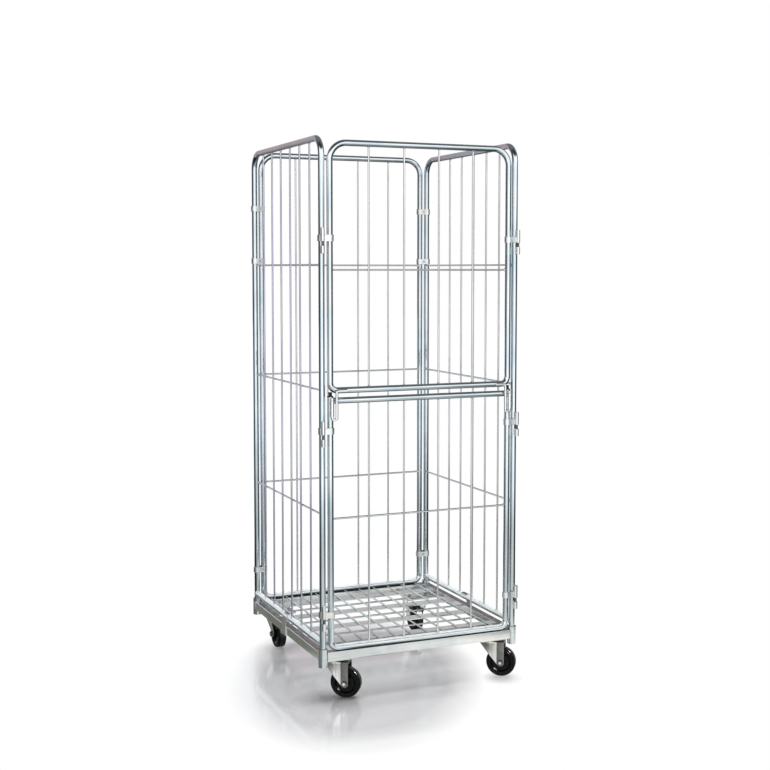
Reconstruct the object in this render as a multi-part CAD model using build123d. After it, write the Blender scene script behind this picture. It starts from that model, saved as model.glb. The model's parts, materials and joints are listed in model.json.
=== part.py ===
from build123d import *
import math
import os

# Roll container: three wire panels plugged into a castored base, and a front gate in two halves
# that hangs on lift-off pins. Millimetres. X runs along the front, Y from front to back, Z up.
# The origin lies on the floor, under the middle of the four posts.

# Cage
post_pitch_x = 680.0        # left post axis to right post axis
post_pitch_y = 690.0        # front post axis to rear post axis
overall_height = 1797.0     # floor to the top of the fixed panels' top rails
gate_drop = 16.0            # those rails down to the gate's top rail
tube_od = 20.0
tube_wall = 1.5
top_bend = 55.0             # axis radius of the top corners
foot_bend = 24.0            # axis radius of the tight lower corners
wire_d = 6.0
side_wire_count = 6
side_wire_pitch = 95.0
front_wire_count = 4
front_wire_pitch = 122.0
cross_wire_pitch = 394.0    # level wires of the fixed panels, counted down from the top rail
cross_wire_count = 3
panel_inset = 26.0          # post axis to the stile axis of the gate or the back panel, along X
panel_offset = 4.0          # how far the gate and the back panel stand outside the post line
weld_gap = 0.2              # space left for a weld between two welded pieces
rest_gap = 0.3              # space under a piece that rests on a round surface

# Base frame
gusset_t = 6.0
gusset_x = 115.0
gusset_y = 100.0
beam_w = 25.0
beam_wall = 2.0
beam_edge = 2.0             # rounding of the beams' long edges
end_beam_h = 30.0           # front and rear beams
side_beam_h = 30.0
side_rail_gap = 17.0        # side beam to the rail above it
socket_od = 30.0
socket_drop = 20.0          # how far a socket hangs below the beams
socket_rise = 10.0          # how far it stands above the side beams
socket_floor = 8.0
drain_d = 8.0
post_clear = 0.3            # radial play of a post in its socket
deck_bar_count = 4
deck_bar_pitch = 165.0
deck_bar_w = 40.0
deck_bar_t = 5.0
deck_wire_count = 11
deck_wire_pitch = 58.0
deck_cross_count = 3        # level wires that tie the deck wires from below
deck_end_gap = 10.0         # post line to the ends of the deck wires
side_strap_w = 40.0
side_strap_t = 3.0
side_strap_toe = 20.0       # length of the strap's foot under the beam

# Gate
gate_split_z = 968.0        # axis of the lower half's top rail
gate_rail_gap = 32.0        # that axis to the axis of the upper half's bottom rail
lower_cross_drop = 376.0    # lower half's top rail to its level wire
upper_cross_drop = 394.0    # upper half's top rail to its level wire
stile_rise = 12.0           # lower stile's open end above its top rail's axis
plug_flange_t = 3.0
plug_stem = 14.0
buffer_d = 12.0

# Gate hooks: a strap round stile and post carries a pin that drops into a sleeve on the post
upper_hook_drop = 295.0     # gate's top rail down to the middle of the upper half's strap
middle_hook_drop = 95.0     # lower half's top rail down to the middle of its upper strap
lower_hook_rise = 110.0     # gate's foot rail up to the middle of its lower strap
strap_h = 20.0
strap_t = 2.5
strap_clear = 0.5
strap_wrap = 4.0            # how far the strap reaches behind the line of the two tubes
barrel_d = 13.0
barrel_h = 42.0
pin_d = 8.0
pin_bare = 14.0             # bare length of pin between strap and sleeve
pin_clear = 0.4
pin_tip_rise = 4.0          # pin tip above the sleeve's lower end
pin_chamfer = 1.5
sleeve_od = 13.0
sleeve_h = 24.0
lug_w = 6.0

# Retainers: bent rods that turn in a sleeve on the lower stile and bar the upper half's rail
rod_d = 9.0
rod_clear = 0.1
rod_bend = 7.0
rod_leg_gap = 16.0
rod_arm = 34.0
rod_turn_drop = 5.0         # sleeve's lower end to the axis of the turn below it
rod_sleeve_od = 14.0
rod_sleeve_h = 51.0
rod_sleeve_rise = 2.0       # sleeve's upper end above the axis of the lower half's top rail
rod_head_d = 13.0
rod_head_h = 8.0

# Clamps that tie the back panel to the rear posts
clamp_rise = 88.0           # side rail up to the lowest clamp
clamp_drops = (379.0, 192.0)    # top rail down to the upper clamps
clamp_h = 20.0
clamp_t = 2.5
clamp_clear = 0.3
clamp_bolt_d = 5.0
clamp_bolt_clear = 0.25
clamp_head_d = 9.0
clamp_head_t = 3.5

# Castors
wheel_d = 100.0
wheel_w = 30.0
wheel_shoulder = 6.0        # rounding of the tread's edges
rim_depth = 15.0            # tread to the inner edge of the rim
web_w = 16.0
hub_d = 28.0
hub_w = 44.0
castor_height = 132.0       # floor to the top of the castor's plate
castor_inset_x = 57.0       # post axis to the axis of a front castor
castor_inset_y = 60.0
castor_trail = 44.0         # swivel axis to axle
castor_turn = -36.0         # way the free front castors trail at rest, in degrees from +X
rear_inset_x = 66.0         # post axis to the middle of a rear castor
rear_inset_y = 44.0
plate_x = 90.0
plate_y = 70.0
plate_t = 4.0
plate_corner = 8.0
bolt_pitch_x = 66.0
bolt_pitch_y = 46.0
bolt_d = 8.0
bolt_clear = 0.3
bolt_head_af = 13.0         # across flats
bolt_head_t = 5.5
bolt_end = 3.0              # thread beyond the nut
race_od = 60.0
race_id = 30.0
race_h = 8.0
swivel_gap = 0.3
head_d = 60.0
fork_t = 3.0
fork_head_t = 4.0
fork_side_gap = 0.8         # hub to fork leg
leg_w = 25.0                # flat of a leg that carries the axle
leg_shoulder_drop = 10.0    # fork's head down to where the leading edge starts to slope
flange_lead = 2.0           # front fold of a leg's flange ahead of the swivel axis
flange_in = 6.0             # how far that flange folds in
nose_lead = 26.0            # leading edge ahead of the swivel axis
nose_in = 9.0               # how far the nose folds in beyond the flange
king_pin_d = 12.0
king_nut_d = 22.0
king_nut_t = 6.0
king_clear = 0.1
fixed_spread = 46.0         # middle of a fixed castor to the middle of its leg at the plate
fixed_knee_z = 64.0         # where that leg starts to lean outwards
fixed_bend = 12.0           # radius of the bend there
fixed_leg_top = 54.0        # width of the leg at the plate
fixed_shoulder_drop = 6.0   # plate down to where the leg's edges start to slope
axle_d = 10.0
axle_clear = 0.2
axle_head_af = 17.0
axle_head_t = 6.0
axle_sleeve_od = 15.0
wheel_clear = 0.08          # radial running clearance of a wheel on its sleeve

# Levels and lines that follow from these sizes
tube_r = tube_od / 2
half_x = post_pitch_x / 2
half_y = post_pitch_y / 2
beam_z = castor_height + gusset_t
end_beam_top = beam_z + end_beam_h
side_beam_top = beam_z + side_beam_h
side_rail_z = side_beam_top + side_rail_gap + tube_r
top_rail_z = overall_height - tube_r
gate_top_z = top_rail_z - gate_drop
socket_bottom = beam_z - socket_drop
socket_top = side_beam_top + socket_rise
post_foot_z = socket_bottom + socket_floor
stile_x = half_x - panel_inset
panel_y = half_y + panel_offset
foot_rail_z = end_beam_top + rest_gap + tube_r
upper_rail_z = gate_split_z + gate_rail_gap
stile_top = gate_split_z + stile_rise
rod_sleeve_top = gate_split_z + rod_sleeve_rise
upper_hook_z = gate_top_z - upper_hook_drop
middle_hook_z = gate_split_z - middle_hook_drop
lower_hook_z = foot_rail_z + lower_hook_rise
clamp_heights = [side_rail_z + clamp_rise] + [top_rail_z - drop for drop in clamp_drops]
wheel_r = wheel_d / 2
castor_x = half_x - castor_inset_x
castor_y = half_y - castor_inset_y
rear_x = half_x - rear_inset_x
rear_y = half_y - rear_inset_y
plate_bottom = castor_height - plate_t
fork_head_top = plate_bottom - race_h - swivel_gap
leg_shoulder_z = fork_head_top - leg_shoulder_drop
fixed_shoulder_z = plate_bottom - fixed_shoulder_drop
leg_inner = hub_w / 2 + fork_side_gap
leg_outer = leg_inner + fork_t

LOW = (Align.CENTER, Align.CENTER, Align.MIN)
BEHIND = (Align.CENTER, Align.MAX)


def rod(start, end, diameter):
    """Round bar between two points."""
    span = Vector(*end) - Vector(*start)
    return Plane(origin=start, z_dir=span) * Cylinder(diameter / 2, span.length, align=LOW)


def bent_bar(points, bend, section):
    """Section swept along straight runs with bends of one axis radius."""
    path = FilletPolyline(*points, radius=bend)
    return sweep(Plane(origin=path @ 0, z_dir=path % 0) * section, path=path)


def tube_section():
    return Circle(tube_r) - Circle(tube_r - tube_wall)


def bent_tube(points, bend):
    return bent_bar(points, bend, tube_section())


def rail_tube(start, end):
    """Straight tube whose ends are cut to saddle upright tubes that stand at its end points."""
    span = Vector(*end) - Vector(*start)
    tube = Plane(origin=start, z_dir=span) * extrude(tube_section(), span.length)
    for point in (start, end):
        tube -= Pos(*point) * Cylinder(tube_r - tube_wall / 2, 2 * tube_od)
    return tube


def hexagon(across_flats, thickness):
    return extrude(RegularPolygon(across_flats / math.sqrt(3), 6), thickness)


def spread(count, pitch):
    """Positions of evenly spaced copies about zero."""
    return [(i - (count - 1) / 2) * pitch for i in range(count)]


def flip(part):
    """Right-hand copy of a left-hand piece."""
    return mirror(part, about=Plane.YZ)


# Base frame

def corner_socket(x, y):
    """Upright round socket with a floor that the post stands on and a drain hole."""
    depth = socket_top - post_foot_z
    body = Cylinder(socket_od / 2, socket_top - socket_bottom, align=LOW)
    bore = Pos(0, 0, socket_floor) * Cylinder(tube_r + post_clear, depth, align=LOW)
    drain = Cylinder(drain_d / 2, socket_floor, align=LOW)
    return Pos(x, y, socket_bottom) * (body - bore - drain)


def socket_notches():
    """Round notches that fit beams and gussets to the four sockets."""
    radius = socket_od / 2 + weld_gap
    height = 3 * (socket_top - socket_bottom)
    corners = [(i * half_x, j * half_y) for i in (-1, 1) for j in (-1, 1)]
    return [Pos(x, y, beam_z) * Cylinder(radius, height) for x, y in corners]


def beam(length, height):
    """Rectangular hollow section along X with rounded long edges."""
    outer = Rectangle(beam_w, height)
    outer = fillet(outer.vertices(), beam_edge)
    inner = Rectangle(beam_w - 2 * beam_wall, height - 2 * beam_wall)
    return Pos(-length / 2, 0, height / 2) * extrude(Plane.YZ * (outer - inner), length)


def end_beam(side):
    """Front beam (side -1) or rear beam (side 1), fitted between the side beams."""
    bar = Pos(0, side * half_y, beam_z) * beam(post_pitch_x - beam_w, end_beam_h)
    for notch in socket_notches():
        bar -= notch
    return bar


def side_beam(side):
    bar = Pos(side * half_x, 0, beam_z) * Rot(0, 0, 90) * beam(post_pitch_y, side_beam_h)
    for notch in socket_notches():
        bar -= notch
    return bar


def plate_holes(thickness):
    """The four bolt holes of a castor's plate."""
    hole = Cylinder(bolt_d / 2 + bolt_clear, thickness, align=LOW)
    return [Pos(x, y, 0) * hole for x, y in bolt_places()]


def bolt_places():
    return [(i * bolt_pitch_x / 2, j * bolt_pitch_y / 2) for i in (-1, 1) for j in (-1, 1)]


def castor_places():
    return [(-castor_x, -castor_y), (castor_x, -castor_y), (-rear_x, rear_y), (rear_x, rear_y)]


def gusset(x, y):
    """Corner plate under two beams, notched round the socket, that carries a castor."""
    right = math.copysign(1, x)
    back = math.copysign(1, y)
    blank = Pos(right * (half_x - gusset_x / 2), back * (half_y - gusset_y / 2), castor_height)
    plate = blank * Box(gusset_x, gusset_y, gusset_t, align=LOW)
    for hole in plate_holes(gusset_t):
        plate -= Pos(x, y, castor_height) * hole
    for notch in socket_notches():
        plate -= notch
    return plate


def deck_bar(y):
    """Flat bar across the base, level with the end beams."""
    length = post_pitch_x - beam_w
    return Pos(0, y, end_beam_top - deck_bar_t) * Box(length, deck_bar_w, deck_bar_t, align=LOW)


def deck_wires():
    """Wires from front to back on the flat bars, tied from below by wires between the bars."""
    z = end_beam_top + weld_gap + wire_d / 2
    reach = half_y - deck_end_gap
    wires = [rod((x, -reach, z), (x, reach, z), wire_d) for x in spread(deck_wire_count, deck_wire_pitch)]
    tie_z = z - wire_d - weld_gap
    tie_x = half_x - beam_w / 2 - weld_gap
    for y in spread(deck_cross_count, deck_bar_pitch):
        wires.append(rod((-tie_x, y, tie_z), (tie_x, y, tie_z), wire_d))
    return wires


def side_strap():
    """Left strap: folded over the panel's bottom rail, down the beam's face and under it."""
    middle = side_strap_t / 2
    over = CenterArc((0, side_rail_z), tube_r + weld_gap + middle, 0, 180)
    face = -(beam_w / 2 + weld_gap + middle)
    under = beam_z - weld_gap - middle
    down = Polyline(over @ 1, (face, side_beam_top), (face, under), (face + side_strap_toe, under))
    band = trace(Curve() + [over, down], line_width=side_strap_t)
    strap = extrude(Plane.XZ * band, side_strap_w / 2, both=True)
    return Pos(-half_x, 0, 0) * strap


# Fixed panels

def side_frame(side):
    """Inverted U of tube whose legs are the posts, with a rail welded between them."""
    x = side * half_x
    bow = [
        (x, -half_y, post_foot_z),
        (x, -half_y, top_rail_z),
        (x, half_y, top_rail_z),
        (x, half_y, post_foot_z),
    ]
    return bent_tube(bow, top_bend) + rail_tube((x, -half_y, side_rail_z), (x, half_y, side_rail_z))


def panel_cross_heights():
    return [top_rail_z - (i + 1) * cross_wire_pitch for i in range(cross_wire_count)]


def side_wires(side):
    """Upright wires between the rails, with level wires on their inner side."""
    x = side * half_x
    inner_x = x - side * (wire_d + weld_gap)
    end = tube_r + weld_gap
    low = side_rail_z + end
    high = top_rail_z - end
    wires = [rod((x, y, low), (x, y, high), wire_d) for y in spread(side_wire_count, side_wire_pitch)]
    for z in panel_cross_heights():
        wires.append(rod((inner_x, -half_y + end, z), (inner_x, half_y - end, z), wire_d))
    return wires


def loop_frame(y, low, high):
    """Closed frame of tube: tight lower corners, wide upper corners, joined half way up."""
    middle = (low + high) / 2
    foot = [(-stile_x, y, middle), (-stile_x, y, low), (stile_x, y, low), (stile_x, y, middle)]
    arch = [(-stile_x, y, middle), (-stile_x, y, high), (stile_x, y, high), (stile_x, y, middle)]
    return bent_tube(foot, foot_bend) + bent_tube(arch, top_bend)


def panel_wires(y, inward, low, high, cross_heights):
    """Upright wires between two rails, with level wires on the inner side."""
    end = tube_r + weld_gap
    inner_y = y + inward * (wire_d + weld_gap)
    places = spread(front_wire_count, front_wire_pitch)
    wires = [rod((x, y, low + end), (x, y, high - end), wire_d) for x in places]
    for z in cross_heights:
        wires.append(rod((-stile_x + end, inner_y, z), (stile_x - end, inner_y, z), wire_d))
    return wires


def pair_belt(clear, thickness):
    """Band round two tubes: the post at the left end of its own X axis, the stile at the right."""
    distance = math.hypot(panel_inset, panel_offset)
    inner = 2 * (tube_r + clear)
    return SlotCenterToCenter(distance, inner + 2 * thickness) - SlotCenterToCenter(distance, inner)


def pair_place(back):
    """Middle between a left post and the stile beside it, X axis from post to stile."""
    turn = math.degrees(math.atan2(back * panel_offset, panel_inset))
    return Pos(-half_x + panel_inset / 2, back * (half_y + panel_offset / 2), 0) * Rot(0, 0, turn)


def rear_clamp(z):
    """Left clamp: closed band with a bolt hole between the two tubes."""
    band = extrude(pair_belt(clamp_clear, clamp_t), clamp_h / 2, both=True)
    band -= Rot(90, 0, 0) * Cylinder(clamp_bolt_d / 2 + clamp_bolt_clear, 4 * tube_od)
    return pair_place(1) * Pos(0, 0, z) * band


def rear_clamp_bolt(z):
    """Left clamp's bolt, round head inside, hexagon nut on the outside."""
    face = tube_r + clamp_clear + clamp_t
    grip = Cylinder(clamp_bolt_d / 2, 2 * (face + clamp_head_t))
    head = Pos(0, 0, face) * Cylinder(clamp_head_d / 2, clamp_head_t, align=LOW)
    nut = Pos(0, 0, -face - clamp_head_t) * hexagon(clamp_head_d, clamp_head_t)
    return pair_place(1) * Pos(0, 0, z) * Rot(90, 0, 0) * (grip + head + nut)


# Gate hooks

def hook_strap(z):
    """Left strap: front half of a band round stile and post."""
    reach = 2 * (panel_inset + tube_od)
    front = Pos(0, strap_wrap) * Rectangle(reach, reach, align=BEHIND)
    band = extrude(pair_belt(strap_clear, strap_t) & front, strap_h / 2, both=True)
    return pair_place(-1) * Pos(0, 0, z) * band


def hook_axis():
    """Place of the left hook pins: in front of the post, on the strap's face."""
    distance = math.hypot(panel_inset, panel_offset)
    reach = tube_r + strap_clear + strap_t + weld_gap + barrel_d / 2
    return pair_place(-1) * Pos(-distance / 2, -reach, 0)


def hook_pin(z):
    """Stepped pin: a thick barrel welded to the strap and a thin tail with a chamfered tip."""
    tail_length = pin_bare + sleeve_h - pin_tip_rise
    barrel = Cylinder(barrel_d / 2, barrel_h, align=LOW)
    tail = Pos(0, 0, -tail_length) * Cylinder(pin_d / 2, tail_length, align=LOW)
    tail = chamfer(tail.edges().sort_by(Axis.Z)[0], pin_chamfer)
    return hook_axis() * Pos(0, 0, z - strap_h / 2) * (barrel + tail)


def hook_sleeve(z):
    """Short sleeve on a lug in front of the left post, open at both ends."""
    reach = tube_r + strap_clear + strap_t + weld_gap + barrel_d / 2
    bore_r = pin_d / 2 + pin_clear
    lug_depth = reach - tube_r - weld_gap
    lug = Pos(0, lug_depth / 2, 0) * Box(lug_w, lug_depth, sleeve_h, align=LOW)
    body = Cylinder(sleeve_od / 2, sleeve_h, align=LOW) + lug
    body -= Cylinder(bore_r, sleeve_h, align=LOW)
    return hook_axis() * Pos(0, 0, z - strap_h / 2 - pin_bare - sleeve_h) * body


# Gate halves

def lower_frame():
    """U of tube with open stile ends, and a top rail welded between the stiles."""
    y = -panel_y
    bow = [
        (-stile_x, y, stile_top),
        (-stile_x, y, foot_rail_z),
        (stile_x, y, foot_rail_z),
        (stile_x, y, stile_top),
    ]
    rail = rail_tube((-stile_x, y, gate_split_z), (stile_x, y, gate_split_z))
    return bent_tube(bow, foot_bend) + rail


def end_plug(x):
    """Plug in a stile's open end, with a buffer that the upper half's corner stands on."""
    corner = math.sqrt((foot_bend + tube_r) ** 2 - (foot_bend - buffer_d / 2) ** 2)
    buffer_top = upper_rail_z + foot_bend - corner - rest_gap
    stem = Pos(0, 0, -plug_stem) * Cylinder(tube_r - tube_wall - weld_gap, plug_stem, align=LOW)
    flange = Cylinder(tube_r, plug_flange_t, align=LOW)
    buffer = Cylinder(buffer_d / 2, buffer_top - stile_top, align=LOW)
    return Pos(x, -panel_y, stile_top) * (stem + flange + buffer)


def rod_axis_y():
    return -panel_y - tube_r - weld_gap - rod_sleeve_od / 2


def rod_sleeve():
    """Left retainer's sleeve, welded to the front of the lower stile."""
    body = Cylinder(rod_sleeve_od / 2, rod_sleeve_h, align=LOW)
    body -= Cylinder(rod_d / 2 + rod_clear, rod_sleeve_h, align=LOW)
    return Pos(-stile_x, rod_axis_y(), rod_sleeve_top - rod_sleeve_h) * body


def retainer():
    """Left retainer: headed leg down through the sleeve, a turn, a leg up and an arm along the rail."""
    y = rod_axis_y()
    head_z = rod_sleeve_top + rest_gap
    turn_z = rod_sleeve_top - rod_sleeve_h - rod_turn_drop - rod_d / 2
    leg_x = -stile_x + rod_leg_gap
    points = [
        (-stile_x, y, head_z + rod_head_h),
        (-stile_x, y, turn_z),
        (leg_x, y, turn_z),
        (leg_x, y, upper_rail_z),
        (leg_x + rod_arm, y, upper_rail_z),
    ]
    head = Pos(-stile_x, y, head_z) * Cylinder(rod_head_d / 2, rod_head_h, align=LOW)
    return bent_bar(points, rod_bend, Circle(rod_d / 2)) + head


# Castors

def wheel():
    """Solid moulded wheel about Z: rounded tread, thin web and a hub as wide as the fork."""
    rim_r = wheel_r - rim_depth
    tread = Rectangle(wheel_r, wheel_w, align=(Align.MIN, Align.CENTER))
    tread = fillet(tread.vertices().group_by(Axis.X)[-1], wheel_shoulder)
    recess = (wheel_w - web_w) / 2
    ring = Rectangle(rim_r - hub_d / 2, recess, align=(Align.MIN, Align.MIN))
    section = tread + Rectangle(hub_d / 2, hub_w, align=(Align.MIN, Align.CENTER))
    section -= Pos(hub_d / 2, web_w / 2) * ring
    section -= Pos(hub_d / 2, -web_w / 2 - recess) * ring
    bore = Rectangle(axle_sleeve_od / 2 + wheel_clear, 2 * hub_w, align=(Align.MIN, Align.CENTER))
    return revolve(Plane.XZ * (section - bore), Axis.Z)


def axle_bolt():
    """Axle about Z: hexagon head, shank through both fork legs, hexagon nut."""
    shank = Cylinder(axle_d / 2, 2 * (leg_outer + axle_head_t))
    head = Pos(0, 0, leg_outer) * hexagon(axle_head_af, axle_head_t)
    nut = Pos(0, 0, -leg_outer - axle_head_t) * hexagon(axle_head_af, axle_head_t)
    return shank + head + nut


def axle_sleeve():
    """Spacer about Z, clamped between the fork legs, that the wheel runs on."""
    ring = Circle(axle_sleeve_od / 2) - Circle(axle_d / 2 + axle_clear)
    return extrude(ring, leg_inner, both=True)


def leg_outline(axle, front, back, shoulder_z, top):
    """Side view of a fork's leg: the hull round the axle's boss and the leg's upper end."""
    boss = Pos(axle, wheel_r) * Circle(leg_w / 2)
    upper_end = Polygon((front, shoulder_z), (back, shoulder_z), (back, top), (front, top), align=None)
    return make_hull(boss.edges() + upper_end.edges())


def swivel_fork():
    """Swivel fork about its own axis, trailing towards +X: round head and two legs folded twice."""
    middle = leg_inner + fork_t / 2
    back = castor_trail + leg_w / 2
    fold = castor_trail - leg_w / 2
    fork = Pos(0, 0, fork_head_top - fork_head_t) * extrude(
        Circle(head_d / 2) + Rectangle(back, 2 * leg_outer, align=(Align.MIN, Align.CENTER)), fork_head_t
    )
    for side in (-1, 1):
        plan = [
            (back, side * middle),
            (fold, side * middle),
            (-flange_lead, side * (middle - flange_in)),
            (-nose_lead, side * (middle - flange_in - nose_in)),
        ]
        sheet = extrude(trace(Polyline(*plan), line_width=fork_t), castor_height)
        outline = leg_outline(castor_trail, -nose_lead, back, leg_shoulder_z, fork_head_top)
        fork += sheet & extrude(Plane.XZ * outline, 2 * leg_outer, both=True)
    axle_hole = Rot(90, 0, 0) * Cylinder(axle_d / 2 + axle_clear, 4 * leg_outer)
    pin_hole = Cylinder(king_pin_d / 2 + king_clear, 2 * castor_height)
    return fork - Pos(castor_trail, 0, wheel_r) * axle_hole - pin_hole


def castor_plate():
    """Top plate of a swivel castor with bolt holes and a hole for the king pin."""
    plate = extrude(RectangleRounded(plate_x, plate_y, plate_corner), plate_t)
    for hole in plate_holes(plate_t):
        plate -= hole
    plate -= Cylinder(king_pin_d / 2 + weld_gap, plate_t, align=LOW)
    return Pos(0, 0, plate_bottom) * plate


def swivel_race():
    """Ring under the plate that the fork's head turns on."""
    ring = extrude(Circle(race_od / 2) - Circle(race_id / 2), race_h)
    return Pos(0, 0, plate_bottom - race_h) * ring


def king_pin():
    """Pin from the plate through the fork's head, with a round nut below."""
    nut_top = fork_head_top - fork_head_t - swivel_gap
    shank = Pos(0, 0, nut_top) * Cylinder(king_pin_d / 2, castor_height - nut_top, align=LOW)
    return shank + Pos(0, 0, nut_top - king_nut_t) * Cylinder(king_nut_d / 2, king_nut_t, align=LOW)


def fixed_fork():
    """Fixed fork in one pressing, rolling along Y: a plate whose sides turn down into leaning legs."""
    plate = extrude(RectangleRounded(2 * fixed_spread + fork_t, plate_y, plate_corner), plate_t)
    for hole in plate_holes(plate_t):
        plate -= hole
    fork = Pos(0, 0, plate_bottom) * plate
    half_top = fixed_leg_top / 2
    top = plate_bottom + plate_t / 2
    outline = leg_outline(0, -half_top, half_top, fixed_shoulder_z, top)
    side_view = extrude(Plane.YZ * outline, 2 * fixed_spread, both=True)
    for side in (-1, 1):
        foot_x = side * (leg_inner + fork_t / 2)
        points = [(foot_x, 0), (foot_x, fixed_knee_z), (side * fixed_spread, top)]
        run = FilletPolyline(*points, radius=fixed_bend)
        sheet = extrude(Plane.XZ * trace(run, line_width=fork_t), plate_y / 2, both=True)
        fork += sheet & side_view
    axle_hole = Rot(0, 90, 0) * Cylinder(axle_d / 2 + axle_clear, 4 * leg_outer)
    return fork - Pos(0, 0, wheel_r) * axle_hole


def castor_bolt():
    """Bolt from below through plate and gusset, with its nut on top."""
    nut_z = castor_height + gusset_t
    length = nut_z + bolt_head_t + bolt_end - plate_bottom
    shank = Pos(0, 0, plate_bottom) * Cylinder(bolt_d / 2, length, align=LOW)
    head = Pos(0, 0, plate_bottom - bolt_head_t) * hexagon(bolt_head_af, bolt_head_t)
    return shank + head + Pos(0, 0, nut_z) * hexagon(bolt_head_af, bolt_head_t)


# Nodes

def left_and_right(make, heights):
    """Left-hand pieces at several heights with their right-hand copies."""
    left = [make(z) for z in heights]
    return left + [flip(piece) for piece in left]


nodes = {}

for back, row in ((-1, "front"), (1, "rear")):
    nodes[row + "_beam"] = [end_beam(back)]
    for right, hand in ((-1, "left"), (1, "right")):
        nodes[f"{row}_{hand}_socket"] = [corner_socket(right * half_x, back * half_y)]

for right, hand in ((-1, "left"), (1, "right")):
    nodes[hand + "_beam"] = [side_beam(right)]
    nodes[hand + "_panel_frame"] = [side_frame(right)]
    nodes[hand + "_panel_wires"] = side_wires(right)

nodes["castor_gussets"] = [gusset(x, y) for x, y in castor_places()]
nodes["deck_bars"] = [deck_bar(y) for y in spread(deck_bar_count, deck_bar_pitch)]
nodes["deck_wires"] = deck_wires()
nodes["left_side_strap"] = [side_strap()]
nodes["right_side_strap"] = [flip(side_strap())]

nodes["back_panel_frame"] = [loop_frame(panel_y, foot_rail_z, top_rail_z)]
nodes["back_panel_wires"] = panel_wires(panel_y, -1, foot_rail_z, top_rail_z, panel_cross_heights())
nodes["rear_clamps"] = left_and_right(rear_clamp, clamp_heights)
nodes["rear_clamp_bolts"] = left_and_right(rear_clamp_bolt, clamp_heights)
nodes["hook_sleeves"] = left_and_right(hook_sleeve, (upper_hook_z, middle_hook_z, lower_hook_z))

nodes["lower_gate_frame"] = [lower_frame()]
nodes["lower_gate_wires"] = panel_wires(
    -panel_y, 1, foot_rail_z, gate_split_z, [gate_split_z - lower_cross_drop]
)
nodes["lower_gate_hook_straps"] = left_and_right(hook_strap, (middle_hook_z, lower_hook_z))
nodes["lower_gate_hook_pins"] = left_and_right(hook_pin, (middle_hook_z, lower_hook_z))
nodes["gate_end_plugs"] = [end_plug(-stile_x), end_plug(stile_x)]
nodes["retainer_sleeves"] = [rod_sleeve(), flip(rod_sleeve())]
nodes["left_retainer_rod"] = [retainer()]
nodes["right_retainer_rod"] = [flip(retainer())]

nodes["upper_gate_frame"] = [loop_frame(-panel_y, upper_rail_z, gate_top_z)]
nodes["upper_gate_wires"] = panel_wires(
    -panel_y, 1, upper_rail_z, gate_top_z, [gate_top_z - upper_cross_drop]
)
nodes["upper_gate_hook_straps"] = left_and_right(hook_strap, (upper_hook_z,))
nodes["upper_gate_hook_pins"] = left_and_right(hook_pin, (upper_hook_z,))

for right, hand in ((-1, "left"), (1, "right")):
    front = Pos(right * castor_x, -castor_y, 0)
    turned = front * Rot(0, 0, castor_turn)
    front_axle = turned * Pos(castor_trail, 0, wheel_r) * Rot(90, 0, 0)
    nodes[f"front_{hand}_castor_plate"] = [front * castor_plate()]
    nodes[f"front_{hand}_swivel_race"] = [front * swivel_race()]
    nodes[f"front_{hand}_king_pin"] = [front * king_pin()]
    nodes[f"front_{hand}_fork"] = [turned * swivel_fork()]
    nodes[f"front_{hand}_axle"] = [front_axle * axle_bolt()]
    nodes[f"front_{hand}_axle_sleeve"] = [front_axle * axle_sleeve()]
    nodes[f"front_{hand}_wheel"] = [front_axle * wheel()]
    rear = Pos(right * rear_x, rear_y, 0)
    rear_axle = rear * Pos(0, 0, wheel_r) * Rot(0, 90, 0)
    nodes[f"rear_{hand}_fork"] = [rear * fixed_fork()]
    nodes[f"rear_{hand}_axle"] = [rear_axle * axle_bolt()]
    nodes[f"rear_{hand}_axle_sleeve"] = [rear_axle * axle_sleeve()]
    nodes[f"rear_{hand}_wheel"] = [rear_axle * wheel()]

nodes["castor_bolts"] = [
    Pos(x + i, y + j, 0) * castor_bolt() for x, y in castor_places() for i, j in bolt_places()
]

os.makedirs("parts", exist_ok=True)
for name, pieces in nodes.items():
    shape = pieces[0] if len(pieces) == 1 else Compound([piece.solid() for piece in pieces])
    export_step(shape, f"parts/{name}.step")
print(len(nodes), "nodes")
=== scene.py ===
import json
import math
import bmesh
import bpy
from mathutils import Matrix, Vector

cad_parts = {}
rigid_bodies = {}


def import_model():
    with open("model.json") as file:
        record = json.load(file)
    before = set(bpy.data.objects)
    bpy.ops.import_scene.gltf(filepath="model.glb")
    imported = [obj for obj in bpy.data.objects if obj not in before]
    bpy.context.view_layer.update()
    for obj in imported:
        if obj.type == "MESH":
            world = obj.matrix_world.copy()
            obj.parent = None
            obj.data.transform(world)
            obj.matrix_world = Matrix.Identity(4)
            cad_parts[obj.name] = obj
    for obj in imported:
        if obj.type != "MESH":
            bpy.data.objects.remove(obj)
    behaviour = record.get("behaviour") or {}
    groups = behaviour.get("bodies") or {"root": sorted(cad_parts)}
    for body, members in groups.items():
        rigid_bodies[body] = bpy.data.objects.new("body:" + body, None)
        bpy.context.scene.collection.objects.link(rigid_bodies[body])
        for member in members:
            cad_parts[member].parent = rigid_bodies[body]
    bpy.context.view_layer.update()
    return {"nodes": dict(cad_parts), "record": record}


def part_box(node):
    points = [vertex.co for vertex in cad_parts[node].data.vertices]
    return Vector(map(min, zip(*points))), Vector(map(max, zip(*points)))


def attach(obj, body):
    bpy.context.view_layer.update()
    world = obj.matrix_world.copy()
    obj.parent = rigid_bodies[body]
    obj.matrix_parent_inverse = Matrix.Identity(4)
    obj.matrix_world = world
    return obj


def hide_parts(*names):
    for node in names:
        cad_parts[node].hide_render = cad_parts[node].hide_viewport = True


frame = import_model()
nodes = frame["nodes"]


# Base frame: hollow-section beams, corner sockets, gusset plates and flat deck bars, all mild steel.
# They are cut, welded into one base and then zinc plated, which leaves a pale finish with faint
# blue and straw-coloured clouds. Cut edges are broken with a file before plating.

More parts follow.
